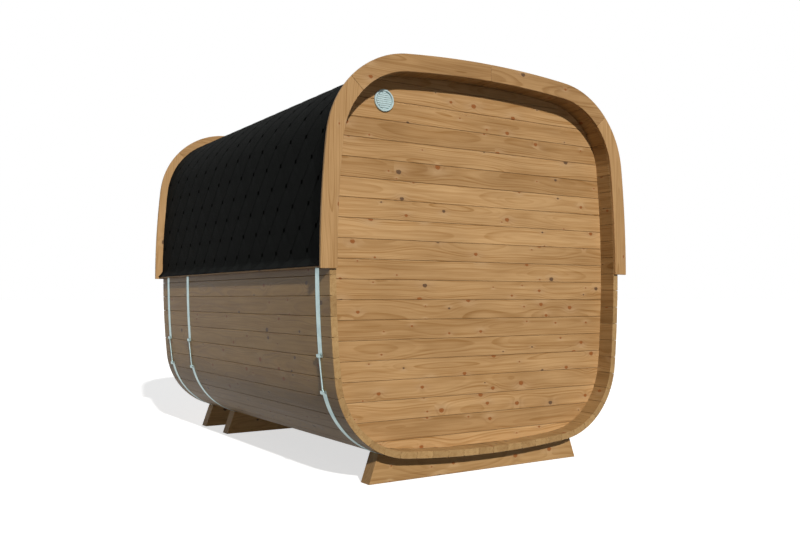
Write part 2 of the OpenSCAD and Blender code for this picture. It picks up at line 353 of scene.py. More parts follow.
def wood(name, light, deep, ring=0.0115, knots=0.8, gloss=(0.42, 0.62), vary=0.22, spec=0.2, ends=None):
    """Sawn softwood: growth rings round a wandering pith, knots that turn the grain, fibre streaks.

    light and deep are the early and late wood, ring the spacing of the rings, knots the share of
    cells with a knot, vary the change from board to board and ends the axis the sawn ends face."""
    m = Surface(name)
    u, v, w = m.split(m.attr("grain", "Vector"))
    tone = m.attr("tone", "Fac")

    def grain_noise(along, across, detail, rough=0.5):
        return m.noise(m.vec(m.mul(u, along), m.mul(v, across), m.mul(w, across)), 1.0, detail, rough)

    # knots: one chance in each cell, with its own size and kind
    cell = m.new("ShaderNodeTexVoronoi", voronoi_dimensions="2D", feature="F1")
    cell.inputs["Scale"].default_value = 1.0
    cell.inputs["Randomness"].default_value = 1.0
    place = m.vec(m.mul(u, KNOT_CELL[0]), m.mad(v, KNOT_CELL[1], m.mul(tone, 53.0)), 0.0)
    m.put(cell.inputs["Vector"], place)
    px, py, _ = m.split(place)
    qx, qy, _ = m.split(cell.outputs["Position"])
    pick_size, pick_here, pick_kind = m.split(cell.outputs["Color"])
    du = m.div(m.sub(px, qx), KNOT_CELL[0])
    dv = m.div(m.sub(py, qy), KNOT_CELL[1])
    jag = m.mad(m.noise(m.vec(m.mul(du, 90.0), m.mul(dv, 90.0), pick_size), 1.0, 2), 0.9, 0.55)
    dist = m.length(m.mul(du, 0.8), dv)
    size = m.mad(m.math("POWER", pick_size, 1.7), 0.0115, 0.0044)
    here = m.math("GREATER_THAN", pick_here, 1.0 - knots)
    if ends is not None:
        # no knots drawn across sawn ends
        facing = m.math("ABSOLUTE", m.split(m.new("ShaderNodeNewGeometry").outputs["Normal"])[ends])
        not_end = m.math("LESS_THAN", facing, 0.8)
        here = m.mul(here, not_end)
    knot_dist = m.div(m.mul(dist, jag), size)
    push = m.mul(m.mul(here, size), m.mul(1.5, m.fall(m.square(m.div(dist, m.mul(size, 2.6))))))

    # growth rings: dark late wood at the outer side of each, pushed aside by the knots
    pith_v = m.sway(m.noise(m.mul(u, 0.9), 1.0, 1, dim="1D"), 0.10)
    pith_w = m.sway(m.noise(m.mad(u, 1.1, 41.0), 1.0, 1, dim="1D"), 0.09)
    warp = m.sway(grain_noise(3.0, 14.0, 1.5), 0.008)
    r = m.length(m.add(v, pith_v), m.add(w, pith_w))
    r = m.add(m.add(r, warp), push)
    phase = m.add(m.div(r, ring), m.mul(m.noise(m.mul(r, 34.0), 1.0, 1, dim="1D"), 1.8))
    part = m.math("FRACT", phase)
    late = m.mul(m.span(part, 0.25, 0.88), m.span(part, 0.90, 1.0, 1.0, 0.0))
    which = m.noise(m.math("FLOOR", phase), 3.7, 0, dim="1D")
    late = m.mul(late, m.span(which, 0.3, 0.75, 0.25, 1.0))
    if ends is not None:
        # fainter rings there too
        late = m.mul(late, m.mad(not_end, 0.6, 0.4))

    # colour from the rings, the redder heartwood and streaks of three widths
    fibre = grain_noise(5.0, 420.0, 3, 0.6)
    band = grain_noise(1.3, 38.0, 4, 0.62)
    line = grain_noise(2.0, 125.0, 2, 0.6)
    cloud = m.noise(m.vec(m.mul(u, 2.2), m.mul(v, 7.0), m.mul(tone, 31.0)), 1.0, 2)
    heart = m.mul(m.span(r, 0.035, 0.085, 1.0, 0.0),
                  m.span(m.math("FRACT", m.mul(tone, 7.3)), 0.2, 0.9, 0.03, 0.26))
    depth = m.add(m.mul(late, RING_SHARE), m.mul(m.span(band, 0.36, 0.72), STREAK_SHARE))
    depth = m.add(m.add(depth, heart),
                  m.add(m.sway(fibre, FIBRE_SHARE), m.sway(line, LINE_SHARE)), clamp=True)
    col = m.mix(depth, rgb(*light), rgb(*deep))

    # each board, and patches of it, lighter or darker; dark is redder
    level = m.mad(m.sub(tone, 0.5), vary, m.mad(m.sub(cloud, 0.5), CLOUD_SHARE, 1.0))
    change = m.sub(level, 1.0)
    col = m.mix(1.0, col, m.vec(level, m.mad(change, 1.15, 1.0), m.mad(change, 1.4, 1.0)), "MULTIPLY")

    # paler wood beside a knot, stain drawn out along the grain, then the knot itself
    side = m.sub(dv, m.mul(size, m.mad(pick_kind, 3.6, -1.8)))
    halo = m.fall(m.add(m.square(m.div(side, m.mul(size, 1.9))), m.square(m.div(du, m.mul(size, 4.5)))))
    col = m.mix(m.mul(m.mul(here, halo), 0.7), col, tinted(light, 1.12, 1.2, 1.38))
    stain = m.fall(m.add(m.div(m.math("ABSOLUTE", dv), m.mul(size, 0.9)),
                         m.div(m.math("ABSOLUTE", du), m.mul(size, 4.0))))
    col = m.mix(m.mul(m.mul(here, stain), 0.62), col, tinted(deep, 0.72, 0.58, 0.45))
    core = m.mul(here, m.span(knot_dist, 0.75, 1.15, 1.0, 0.0))
    knot_ring = m.mad(m.math("SINE", m.mul(knot_dist, 11.0)), 0.25, 0.5)
    red, dark = (m.mix(knot_ring, rgb(*a), rgb(*b)) for a, b in (RED_KNOT, DARK_KNOT))
    is_dark = m.math("GREATER_THAN", m.math("FRACT", m.mul(pick_kind, 9.7)), 0.74)
    col = m.mix(m.mul(core, 0.9), col, m.mix(is_dark, red, dark))

    m.look(col, m.span(m.add(fibre, m.mul(late, 0.3)), 0.2, 1.0, gloss[1], gloss[0], smooth=False))
    m.bsdf.inputs["Specular IOR Level"].default_value = spec
    m.bump(m.add(m.mul(fibre, 0.5), m.add(m.mul(late, 0.6), m.mul(core, 0.8))), 0.35, 0.0006)
    return m.mat


def shingle_mat():
    """Bitumen felt with fine mineral granules; a high tone is a paler, more weathered patch."""
    m = Surface("shingle_felt")
    p = m.attr("grain", "Vector")
    tone = m.attr("tone", "Fac")
    grit = m.noise(p, 620.0, 2, 0.7)
    fleck = m.new("ShaderNodeTexVoronoi", feature="F1")
    fleck.inputs["Scale"].default_value = 420.0
    m.put(fleck.inputs["Vector"], p)
    grain, _, _ = m.split(fleck.outputs["Color"])
    fade = m.add(tone, m.sway(m.noise(p, 9.0, 3, 0.6), 0.35), clamp=True)
    col = m.mix(fade, rgb(0.0028, 0.0033, 0.0030), rgb(0.0088, 0.0100, 0.0094))
    col = m.mix(m.mul(m.span(grain, 0.78, 1.0), m.mad(fade, 0.4, 0.06)), col, rgb(0.03, 0.034, 0.033))
    m.look(col, m.span(grit, 0.2, 0.8, 0.8, 0.98))
    m.bsdf.inputs["Specular IOR Level"].default_value = 0.05
    m.bump(m.add(grit, m.mul(grain, 0.7)), 0.6, 0.0012)
    return m.mat


def slot_shadow_mat():
    """Near-black bare bitumen with no sheen, used as painted shadow in the slots between tabs."""
    m = Surface("painted_slot_shadow")
    lump = m.noise(m.attr("grain", "Vector"), 260.0, 2)
    m.look(m.mix(lump, rgb(0.0012, 0.0014, 0.0013), rgb(0.0022, 0.0024, 0.0023)),
           m.span(lump, 0.3, 0.7, 0.6, 0.8))
    m.bsdf.inputs["Specular IOR Level"].default_value = 0.0
    m.bump(lump, 0.3, 0.0008)
    return m.mat


def steel_mat(name, base, rough, thread=0.0):
    """Stainless steel: fine brushing along it and soft blotches, or a screw thread of a given pitch."""
    m = Surface(name)
    p = m.attr("grain", "Vector")
    x, y, z = m.split(p)
    brush = m.noise(m.vec(m.mul(x, 6.0), m.mul(y, 900.0), m.mul(z, 900.0)), 1.0, 2)
    blot = m.noise(p, 14.0, 3, 0.6)
    m.look(m.mix(m.span(blot, 0.3, 0.75), rgb(*base), tinted(base, 0.80, 0.83, 0.85)),
           m.span(m.add(m.mul(brush, 0.6), m.mul(blot, 0.5)), 0.3, 0.8, rough[0], rough[1]))
    m.bsdf.inputs["Metallic"].default_value = 1.0
    if thread:
        m.bump(m.math("SINE", m.mul(x, 2 * math.pi / thread)), 0.25, 0.0003)
    else:
        m.bump(m.mul(brush, 0.3), 0.25, 0.0002)
    return m.mat


def enamel_mat():
    """Pale coated metal of the vent."""
    m = Surface("vent_enamel")
    p = m.attr("grain", "Vector")
    blot = m.noise(p, 40.0, 3, 0.6)
    m.look(m.mix(m.span(blot, 0.3, 0.7), rgb(0.47, 0.60, 0.60), rgb(0.41, 0.53, 0.535)),
           m.span(blot, 0.2, 0.8, 0.32, 0.45))
    m.bump(m.noise(p, 900.0, 1), 0.15, 0.0003)
    return m.mat


STEEL_BASE = (0.49, 0.62, 0.615)
STAVE = wood("stave_pine", (0.400, 0.249, 0.104), (0.235, 0.119, 0.035),
             gloss=(0.38, 0.55), spec=0.31, ends=1)
WALL = wood("wall_pine", (0.466, 0.279, 0.123), (0.266, 0.125, 0.032))
TRIM = wood("trim_pine", (0.455, 0.270, 0.118), (0.265, 0.132, 0.040), knots=0.6, vary=0.2)
LEG = wood("leg_pine", (0.50, 0.303, 0.131), (0.305, 0.158, 0.051), knots=0.6)
DOOR = wood("door_pine", (0.48, 0.28, 0.118), (0.29, 0.14, 0.043), knots=0.4)
DARK = wood("handle_wood", (0.16, 0.075, 0.03), (0.07, 0.03, 0.012), knots=0.0, ring=0.003)
FELT = shingle_mat()
# near-black, the painted shadow in the tab slots
SLOT_SHADOW = slot_shadow_mat()
STEEL = steel_mat("strap_steel", STEEL_BASE, (0.30, 0.46))
ROD = steel_mat("rod_steel", STEEL_BASE, (0.38, 0.5), thread=0.002)
ENAMEL = enamel_mat()

# ---- shell
GAP, VEE, TONGUE = 0.0009, 0.0022, 0.0045     # half a joint's gap, its bevel, the hidden tongue
STAVE_COVER = 0.1163        # from joint to joint
FIRST_JOINT = -0.0935       # arc length of the joint below mid-height
ARRIS, ARRIS_RUN = 0.0012, 0.0015             # an eased edge and its run along the stave


def stave_rings(s0, s1):
    """A stave between two joints: bevelled outside, tongued to the next one, ends eased."""
    n = 5

    def ring(shrink):
        a, b = s0 + GAP + shrink, s1 - GAP - shrink
        o, i = -shrink, -STAVE_T + shrink
        pts = [(a, o - VEE)]
        pts += [(a + VEE + (b - a - 2 * VEE) * k / n, o) for k in range(n + 1)]
        pts += [(b, o - VEE), (b, i + ARRIS)]
        pts += [(b - ARRIS - (b - a - 2 * ARRIS) * k / n, i) for k in range(n + 1)]
        pts.append((a, i + ARRIS))
        pts += [(a, -0.027), (a - TONGUE, -0.026), (a - TONGUE, -0.016), (a, -0.015)]
        return [sec(s, off) for s, off in pts]
    return [[(x, y, z) for x, z in ring(shrink)] for y, shrink in
            ((-HALF_L, ARRIS), (-HALF_L + ARRIS_RUN, 0.0), (HALF_L - ARRIS_RUN, 0.0), (HALF_L, ARRIS))]


def stave_grain(s0, s1):
    """Wood coordinates for one stave, turned with its face."""
    mid = (s0 + s1) / 2
    x, z = sec(mid, -STAVE_T / 2)
    x2, z2 = sec(mid, 0.0)
    nx, nz = x2 - x, z2 - z
    k = math.hypot(nx, nz)
    nx, nz = nx / k, nz / k
    along = RND.uniform(0, 80)
    v0, w0 = RND.uniform(-0.05, 0.05), RND.uniform(0.02, 0.09) * RND.choice((-1, 1))

    def grain(p):
        dx, dz = p[0] - x, p[2] - z
        return (p[1] + along, -dx * nz + dz * nx + v0, dx * nx + dz * nz + w0)
    return grain


def shell():
    """Staves all round the section, as one piece."""
    build = Build()
    up = int((QUARTER - FIRST_JOINT) / STAVE_COVER)
    down = int((3 * QUARTER + FIRST_JOINT) / STAVE_COVER)
    joints = [FIRST_JOINT + STAVE_COVER * j for j in range(-down, up + 1)]
    # the last stave, at the top, takes up what is left
    joints.append(joints[0] + ROUND)
    for s0, s1 in zip(joints, joints[1:]):
        build.solid(stave_rings(s0, s1), stave_grain(s0, s1), RND.random())
    build.make("staves", STAVE, "stave_wood", "shell_bottom", "shell_low_left", "shell_low_right",
               "shell_left", "shell_right", "shell_high_left", "shell_high_right", "shell_top")


shell()

# ---- end walls
BOARD = 0.1197
BOARD_JOINT = 0.9646 + 3 * BOARD        # a joint's height above mid-height
TONGUE_DEPTH = 0.012                    # the tongue's face behind the board's
LEAST_BOARD = 0.012


def board_rows(z0, z1):
    """Heights and face depths of one tongued board, from its tongue up."""
    n = 6
    low, high = z0 + GAP, z1 - GAP
    rows = [(low - TONGUE, TONGUE_DEPTH), (low - 0.0001, TONGUE_DEPTH), (low, VEE * 0.9), (low + VEE, 0.0)]
    rows += [(low + VEE + (high - low - 2 * VEE) * k / n, 0.0) for k in range(1, n + 1)]
    rows.append((high, VEE * 0.9))
    return rows


def wall_board(build, z0, z1, y, out, xa=-FAR, xb=FAR):
    """One board of an end wall, from xa to xb or the shell; out is the way its good face looks.

    Returns its foot's height, its grain and its tone."""
    limit = HALF_H - STAVE_T - 0.0004
    if z0 >= limit or z1 <= -limit:
        return
    z0, z1 = max(z0, -limit + 0.001), min(z1, limit)
    if z1 - z0 < LEAST_BOARD:
        return
    rings = []
    for z, depth in board_rows(z0, z1):
        z = max(-limit, min(limit, z))
        w = half_width(z, -STAVE_T) - 0.0005
        lo, hi = max(-w, xa), min(w, xb)
        if hi - lo < 0.004:
            continue
        back = WALL_T - depth * (1.0 if depth == TONGUE_DEPTH else 0.3)
        ring = [(lo, depth), (hi, depth), (hi, back), (lo, back)]
        rings.append([(x, y - out * d, MID + z) for x, d in ring])
    if len(rings) > 2:
        zc = (z0 + z1) / 2
        grain, tone = random_grain("x", (0, y, MID + zc)), RND.random()
        build.solid(rings, grain, tone)
        return MID + z0, grain, tone


def rows_of_boards():
    """Heights of each board's lower and upper joint above mid-height, from the top down."""
    k = 0
    while BOARD_JOINT - BOARD * k > -HALF_H:
        top = BOARD_JOINT - BOARD * k
        yield top - BOARD, top
        k += 1


def cut_round(obj, x, z, radius, boards):
    """Cuts a round hole along Y, then gives every vertex its own board's grain again."""
    bm = bmesh.new()
    bmesh.ops.create_cone(bm, cap_ends=True, segments=64, radius1=radius, radius2=radius, depth=0.4)
    mesh = bpy.data.meshes.new("cutter")
    bm.to_mesh(mesh)
    bm.free()
    cutter = bpy.data.objects.new("cutter", mesh)
    cutter.location = (x, REAR_Y, z)
    cutter.rotation_euler = (math.pi / 2, 0, 0)
    bpy.context.scene.collection.objects.link(cutter)
    mod = obj.modifiers.new("hole", "BOOLEAN")
    mod.operation, mod.object, mod.solver, mod.use_self = "DIFFERENCE", cutter, "EXACT", True
    bpy.context.view_layer.update()
    deps = bpy.context.evaluated_depsgraph_get()
    new = bpy.data.meshes.new_from_object(obj.evaluated_get(deps))
    obj.modifiers.clear()
    obj.data = new
    bpy.data.objects.remove(cutter)
    for v in new.vertices:
        _, grain, tone = max((b for b in boards if b[0] - 0.01 < v.co.z), key=lambda b: b[0])
        new.attributes["grain"].data[v.index].vector = grain(v.co)
        new.attributes["tone"].data[v.index].value = tone


VENT_LOW, VENT_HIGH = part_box("vent_ring")
VENT_X, VENT_Z = (VENT_LOW[0] + VENT_HIGH[0]) / 2, (VENT_LOW[2] + VENT_HIGH[2]) / 2
VENT_R = (VENT_HIGH[0] - VENT_LOW[0]) / 2
VENT_HOLE_R = 0.05


def rear_wall():
    """Boards across the rear; the ones near the vent are a piece of their own, with its hole."""
    plain, holed, boards = Build(), Build(), []
    for z0, z1 in rows_of_boards():
        near = z0 - VENT_HOLE_R < VENT_Z - MID < z1 + VENT_HOLE_R
        board = wall_board(holed if near else plain, z0, z1, REAR_Y, 1)
        if near:
            boards.append(board)
    plain.make("rear_boards", WALL, "wall_wood", "rear_wall")
    obj = holed.make("rear_vent_boards", WALL, "wall_wood", "rear_wall")
    cut_round(obj, VENT_X, VENT_Z, VENT_HOLE_R, boards)


rear_wall()

DOOR_LOW, DOOR_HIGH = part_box("door_frame")
LEAF_LOW, LEAF_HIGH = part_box("door_leaf")
OPEN_X = 0.38
OPEN_Z0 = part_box("front_wall_sill")[1][2]
OPEN_Z1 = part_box("front_wall_head")[0][2]


def front_wall():
    """Boards cut back to the door's opening."""
    build = Build()
    lo, hi = OPEN_Z0 - MID, OPEN_Z1 - MID
    for z0, z1 in rows_of_boards():
        if z1 <= lo or z0 >= hi:
            parts = [(-FAR, FAR, z0, z1)]
        else:
            parts = [(-FAR, -OPEN_X, z0, z1), (OPEN_X, FAR, z0, z1)]
            if z0 < lo < z1:
                parts.append((-OPEN_X, OPEN_X, z0, lo))
            if z0 < hi < z1:
                parts.append((-OPEN_X, OPEN_X, hi, z1))
        for xa, xb, za, zb in parts:
            wall_board(build, za, zb, FRONT_Y, -1, xa, xb)
    build.make("front_boards", WALL, "wall_wood", "front_wall_left", "front_wall_right",
               "front_wall_head", "front_wall_sill")


front_wall()


# ---- plain boards
def chamfered(a0, a1, b0, b1, e):
    """An oblong with its four corners cut by e."""
    return [(a0 + e, b0), (a1 - e, b0), (a1, b0 + e), (a1, b1 - e),
            (a1 - e, b1), (a0 + e, b1), (a0, b1 - e), (a0, b0 + e)]


def bar(build, lo, hi, axis, ease=0.002):
    """A board with eased edges between two corners, its length along axis."""
    a, b, c = {"x": (1, 2, 0), "z": (0, 1, 2)}[axis]
    rings = []
    for t, k in ((lo[c], ease), (lo[c] + ease, 0.0), (hi[c] - ease, 0.0), (hi[c], ease)):
        ring = chamfered(lo[a] + k, hi[a] - k, lo[b] + k, hi[b] - k, ease)
        out = []
        for p, q in ring:
            v = [0.0, 0.0, 0.0]
            v[a], v[b], v[c] = p, q, t
            out.append(tuple(v))
        rings.append(out)
    centre = tuple((lo[i] + hi[i]) / 2 for i in range(3))
    build.solid(rings, random_grain(axis, centre), RND.random())


def lathe(build, profile, centre, steps, axis):
    """A turned piece: profile of (radius, along) closed through its own points."""
    rings = []
    for i in range(steps):
        g = 2 * math.pi * i / steps
        ring = []
        for r, t in profile:
            if axis == "y":
                ring.append((centre[0] + r * math.cos(g), centre[1] + t, centre[2] + r * math.sin(g)))
            else:
                ring.append((centre[0] + r * math.cos(g), centre[1] + r * math.sin(g), centre[2] + t))
        rings.append(ring)
    rings.append(rings[0])
    build.solid(rings, lambda p: p, RND.random(), caps=False)


# ---- door
FRAME_W = 0.06
LINER_T = 0.012
DOOR_PLANKS = 7
LEDGE_H, LEDGE_T = 0.115, 0.0065
HINGE_H, HINGE_LEAF = 0.09, 0.036
CLEAR = 0.0002              # kept between pieces that would share a face
AXIS_R = 0.0003             # a turned piece's radius on its own axis


def door_surround():
    """Four face boards round the opening and a thin liner through the wall."""
    build = Build()
    face, back = FRONT_Y - CLEAR, FRONT_Y + WALL_T
    x, y, z0, z1 = DOOR_HIGH[0], DOOR_LOW[1], DOOR_LOW[2], DOOR_HIGH[2]
    bar(build, (-x, y, z0 + FRAME_W), (-x + FRAME_W, face, z1 - FRAME_W), "z")
    bar(build, (x - FRAME_W, y, z0 + FRAME_W), (x, face, z1 - FRAME_W), "z")
    bar(build, (-x, y, z1 - FRAME_W), (x, face, z1), "x")
    bar(build, (-x, y, z0), (x, face, z0 + FRAME_W), "x")
    inner, y = OPEN_X - LINER_T, FRONT_Y
    bar(build, (-OPEN_X, y, OPEN_Z0), (-inner, back, OPEN_Z1), "z", 0.001)
    bar(build, (inner, y, OPEN_Z0), (OPEN_X, back, OPEN_Z1), "z", 0.001)
    bar(build, (-inner, y, OPEN_Z1 - LINER_T), (inner, back, OPEN_Z1), "x", 0.001)
    bar(build, (-inner, y, OPEN_Z0), (inner, back, OPEN_Z0 + LINER_T), "x", 0.001)
    build.make("door_surround", TRIM, "door_wood", "door_frame")


def door_leaf():
    """Upright planks held by three ledges."""
    build = Build()
    (x0, y0, z0), (x1, y1, z1) = LEAF_LOW, LEAF_HIGH
    width = (x1 - x0) / DOOR_PLANKS
    for i in range(DOOR_PLANKS):
        bar(build, (x0 + i * width + 0.0006, y0 + 0.006, z0),
            (x0 + (i + 1) * width - 0.0006, y1 - 0.002, z1), "z", 0.0025)
    for z in (z0 + 0.14, (z0 + z1) / 2, z1 - 0.26):
        bar(build, (x0 + 0.02, y0, z), (x1 - 0.02, y0 + LEDGE_T, z + LEDGE_H), "x")
    build.make("door_planks", DOOR, "door_wood", "door_leaf")


def door_grip():
    """A turned upright bar on two turned posts."""
    build = Build()
    lo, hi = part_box("door_handle")
    cx, r, h = (lo[0] + hi[0]) / 2, (hi[0] - lo[0]) / 2, hi[2] - lo[2]
    post = hi[1] - lo[1] - r
    lathe(build, [(0.0004, 0), (r * 0.8, 0), (r, r * 0.25), (r * 0.86, h * 0.3), (r * 0.86, h * 0.7),
                  (r, h - r * 0.25), (r * 0.8, h), (0.0004, h)], (cx, lo[1] + r, lo[2]), 40, "z")
    for k in (1 / 6, 5 / 6):
        lathe(build, [(0.0004, 0), (r * 0.62, 0), (r * 0.5, 0.01), (r * 0.62, post), (0.0004, post)],
              (cx, lo[1] + r, lo[2] + h * k), 28, "y")
    build.make("door_grip", DARK, "handle_wood", "door_handle")


def door_hinges():
    """Two butt hinges: two leaves with three screws each, and a knuckle in three parts."""
    build = Build()
    lo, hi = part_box("door_hinges")
    pin_x, y = lo[0] + HINGE_LEAF, LEAF_LOW[1]
    screw = [(AXIS_R, 0), (0.004, 0), (0.0035, 0.0016), (AXIS_R, 0.0018)]
    knuckle = [(AXIS_R, 0.0), (0.0062, 0.0), (0.007, 0.001),
               (0.007, 0.0283), (0.0062, 0.0293), (AXIS_R, 0.0293)]
    for z in (lo[2], hi[2] - HINGE_H):
        for s in (-1, 1):
            a, b = sorted((pin_x + s * 0.004, pin_x + s * HINGE_LEAF))
            bar(build, (a, y - 0.003, z), (b, y - CLEAR, z + HINGE_H), "z", 0.0008)
            for dz in (0.018, 0.045, 0.072):
                lathe(build, screw, (pin_x + s * 0.022, y - 0.0046, z + dz), 16, "y")
        for k in range(3):
            lathe(build, knuckle, (pin_x, y - 0.007, z + AXIS_R + HINGE_H / 3 * k), 24, "z")
    build.make("hinge_plates", STEEL, "strap_steel", "door_hinges")


door_surround()
door_leaf()
door_grip()
door_hinges()


# ---- fascia
FASCIA_DROP = 0.058         # the lower end below mid-height
MITRE_ANG = 43              # degrees round the corner's arc


def fascia_piece(build, s0, s1, y0, y1, side, axis):
    """A curved board on the shell's end, from arc length s0 to s1 on one side."""
    steps = max(4, int(abs(s1 - s0) / 0.03))
    e = 0.0022
    trim = 0.0005

    def ring(s, k):
        pts = []
        for off, y in chamfered(-STAVE_T + trim + k, FASCIA_OUT - k, y0 + k, y1 - k, e):
            x, z = sec(s, off)
            pts.append((side * x, y, z))
        return pts
    stations = [(s0 + trim, e * 0.8), (s0 + trim + e, 0.0)]
    stations += [(s0 + (s1 - s0) * k / steps, 0.0) for k in range(1, steps)]
    stations += [(s1 - trim - e, 0.0), (s1 - trim, e * 0.8)]
    rings = [ring(s, k) for s, k in stations]
    x, z = sec((s0 + s1) / 2, 0.01)
    build.solid(rings, random_grain(axis, (side * x, (y0 + y1) / 2, z), spread=0.03), RND.random())


def fascia():
    foot = -R_SIDE * math.asin(FASCIA_DROP / R_SIDE)
    mitre = SIDE_LEN + R_CORNER * (math.radians(MITRE_ANG) - SIDE_ANG)
    for end, y0, y1 in (("rear", HALF_L, HALF_L + FASCIA_T), ("front", -HALF_L - FASCIA_T, -HALF_L)):
        build = Build()
        for side in (1, -1):
            fascia_piece(build, foot, mitre, y0, y1, side, "z")
            fascia_piece(build, mitre, QUARTER, y0, y1, side, "x")
        build.make("fascia_" + end, TRIM, "trim_wood", "fascia_%s_left" % end, "fascia_%s_right" % end,
                   "fascia_%s_top_left" % end, "fascia_%s_top_right" % end)


fascia()


# ---- roof
PITCH_Y = 2 * HALF_L / 14   # from one tab to the next along the roof
HALF_PITCH = PITCH_Y / 2
ROW = 0.138                 # from one course to the next up the roof
FIRST_ROW = -0.0698
FIRST_TAB_Y = 0.053
SLOT = 0.0115               # half the width of the slots between two tabs
TAB_TIP = 0.012             # half the width of a tab's tip
TAPER = ROW - 0.024         # a tab's height up to its full width
FELT_T = 0.0018
FELT_END = HALF_L - 0.001
SHADE_SQUARE_HALF = 0.0118                # half a square of painted shadow
EAVE_OUT = 0.038
EAVE_TIP_Z = -0.0425
FLARE_S = -0.0592           # the first course's cut lower edge
FLARE_LEN = 0.0597          # from the shell down to the eave's tip


def roof_point(s, off, side):
    """Point on the roof, s metres up from the eave's shell line; below it the course flares out."""
    if s >= 0:
        x, z = sec(s, off)
        return side * x, z
    t = -s / FLARE_LEN
    return side * (HALF_W + EAVE_OUT * t + off * 0.77), MID + EAVE_TIP_Z * t + off * 0.64


def flat_ring(s, y0, y1, top, low, side):
    """Four points across the roof at arc length s, between two offsets."""
    xt, zt = roof_point(s, top, side)
    xb, zb = roof_point(s, low, side)
    return [(xt, y0, zt), (xt, y1, zt), (xb, y1, zb), (xb, y0, zb)]


def felt_grain(side):
    return lambda p: (p[0] + 7 * side, p[1], p[2])


def tab_profile(s_low, span):
    """Fractions of a course's height with the tab's half width: a cut tip, a slot, then solid felt."""
    grow = HALF_PITCH - SLOT - TAB_TIP
    full = HALF_PITCH - 0.0002
    prof = [(TAPER * k / 6, TAB_TIP + grow * (k / 6)) for k in range(7)]
    prof += [(ROW - 0.0005, HALF_PITCH - SLOT), (ROW, full)]
    k = 1
    while ROW + 0.025 * k < span:
        prof.append((ROW + 0.025 * k, full))
        k += 1
    prof.append((span, full))
    cut = FLARE_S - s_low
    if cut > 0:
        prof = [(cut, TAB_TIP + grow * cut / TAPER)] + [p for p in prof if p[0] > cut]
    return [(min(1.0, d / span), half) for d, half in prof if d <= span + 1e-9]


def felt_tab(build, side, s_low, s_high, prof, yc):
    """One tab of a course, lying on the course below and paler towards its upper part."""
    rings, tones = [], []
    base = RND.uniform(0.0, 0.12)
    for f, half in prof:
        s = s_low + (s_high - s_low) * f
        top = 0.0044 + 0.0028 * max(0.0, 1 - (s - s_low) / (2 * ROW))
        y0 = min(max(yc - half, -FELT_END), FELT_END - 0.0006)
        y1 = max(min(yc + half, FELT_END), y0 + 0.0006)
        rings.append(flat_ring(s, y0, y1, top, max(0.0008, top - FELT_T), side))
        worn = max(0.0, min(1.0, ((s - s_low) / ROW - 0.95) / 0.95))
        tones += [base + 0.62 * worn ** 1.3] * 4
    tones.reverse()
    build.solid(rings, felt_grain(side), lambda p: tones.pop())


def slot_shadow_square(build, side, s, y, off=0.0056):
    """A near-black bitumen square in the slot between two tabs: painted shadow where the slot lies in shade.
    """
    if abs(y) > FELT_END - 0.012 or s > QUARTER - 0.13:
        return
    rings = [flat_ring(s + ds, y - SHADE_SQUARE_HALF, y + SHADE_SQUARE_HALF, off, off - 0.0006, side) for ds in (-SHADE_SQUARE_HALF, SHADE_SQUARE_HALF)]
    build.solid(rings, felt_grain(side), 0.0)


def starter_strip(build, side):
    """The strip over the eave wedge and up under the first course."""
    rings = []
    for s in (-0.0594, -0.045, -0.03, -0.015, -0.004, 0.004, 0.03, 0.06, 0.10, 0.15):
        rings.append(flat_ring(s, -FELT_END, FELT_END, 0.0058 if s < 0.02 else 0.0045, 0.0006, side))
    build.solid(rings, felt_grain(side), 0.6)


def course(build, shade_squares, side, row, s_low):
    """One course of tabs; every other one is shifted by half a tab."""
    s_high = min(s_low + 2 * ROW + 0.02, QUARTER - 0.0005)
    prof = tab_profile(s_low, s_high - s_low)
    shift = HALF_PITCH if row % 2 else 0.0
    i = -2
    while True:
        yc = -HALF_L + shift + FIRST_TAB_Y + i * PITCH_Y
        i += 1
        if yc - HALF_PITCH > FELT_END - 0.003:
            break
        if yc + HALF_PITCH < -FELT_END + 0.003:
            continue
        felt_tab(build, side, s_low, s_high, prof, yc)
        # painted shadow: a near-black square in the slot beside this tab
        slot_shadow_square(shade_squares, side, s_low + ROW - 0.0125, yc + HALF_PITCH)


def shingles():
    # near-black squares of painted shadow for the tab slots
    shade_squares = Build()
    for side, names in ((1, ("roof_right",)), (-1, ("roof_left", "roof_top"))):
        build = Build()
        starter_strip(build, side)
        row, s_low = 0, FIRST_ROW
        while s_low < QUARTER - 0.01:
            course(build, shade_squares, side, row, s_low)
            s_low += ROW
            row += 1
        build.make("shingles_" + HAND[side], FELT, "shingle", *names)
    # the slot squares as one piece of painted shadow
    shade_squares.make("painted_slot_shadows", SLOT_SHADOW, "shingle", "roof_top")


def ridge():
    """Overlapping cap strips along the top."""
    build = Build()
    n = 18
    step = (2 * HALF_L - 0.004) / n
    for i in range(n):
        y0 = -HALF_L + 0.002 + i * step
        y1 = min(y0 + step * 1.25, FELT_END)
        rings = []
        for k in range(9):
            s = QUARTER - 0.12 + 0.24 * k / 8
            pts = [(y, sec(s, off)) for y, off in ((y0, 0.0108), (y1, 0.0088), (y1, 0.0070), (y0, 0.0085))]
            rings.append([(x, y, z) for y, (x, z) in pts])
        build.solid(rings, lambda p: (p[0] + 20, p[1], p[2]), RND.uniform(0.12, 0.28))
    build.make("ridge_strips", FELT, "shingle", "roof_top")


def eaves():
    """The sloped battens under the first course."""
    for side in (1, -1):
        build = Build()
        lo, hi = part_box("eave_" + HAND[side])
        x0, x1, z0 = HALF_W + 0.0004, HALF_W + EAVE_OUT, lo[2]
        poly = [(x0, hi[2] - 0.003), (x1, z0 + 0.0068), (x1, z0), (x0, z0)]
        rings = []
        for end, k in ((-HALF_L + 0.0005, 0.001), (-HALF_L + 0.002, 0.0),
                       (HALF_L - 0.002, 0.0), (HALF_L - 0.0005, 0.001)):
            rings.append([(side * x, end, z) for x, z in inset(poly, k)])
        build.solid(rings, random_grain("y", (side * HALF_W, 0, z0)), RND.random())
        build.make("batten_" + HAND[side], TRIM, "trim_wood", "eave_" + HAND[side])


shingles()
ridge()
eaves()

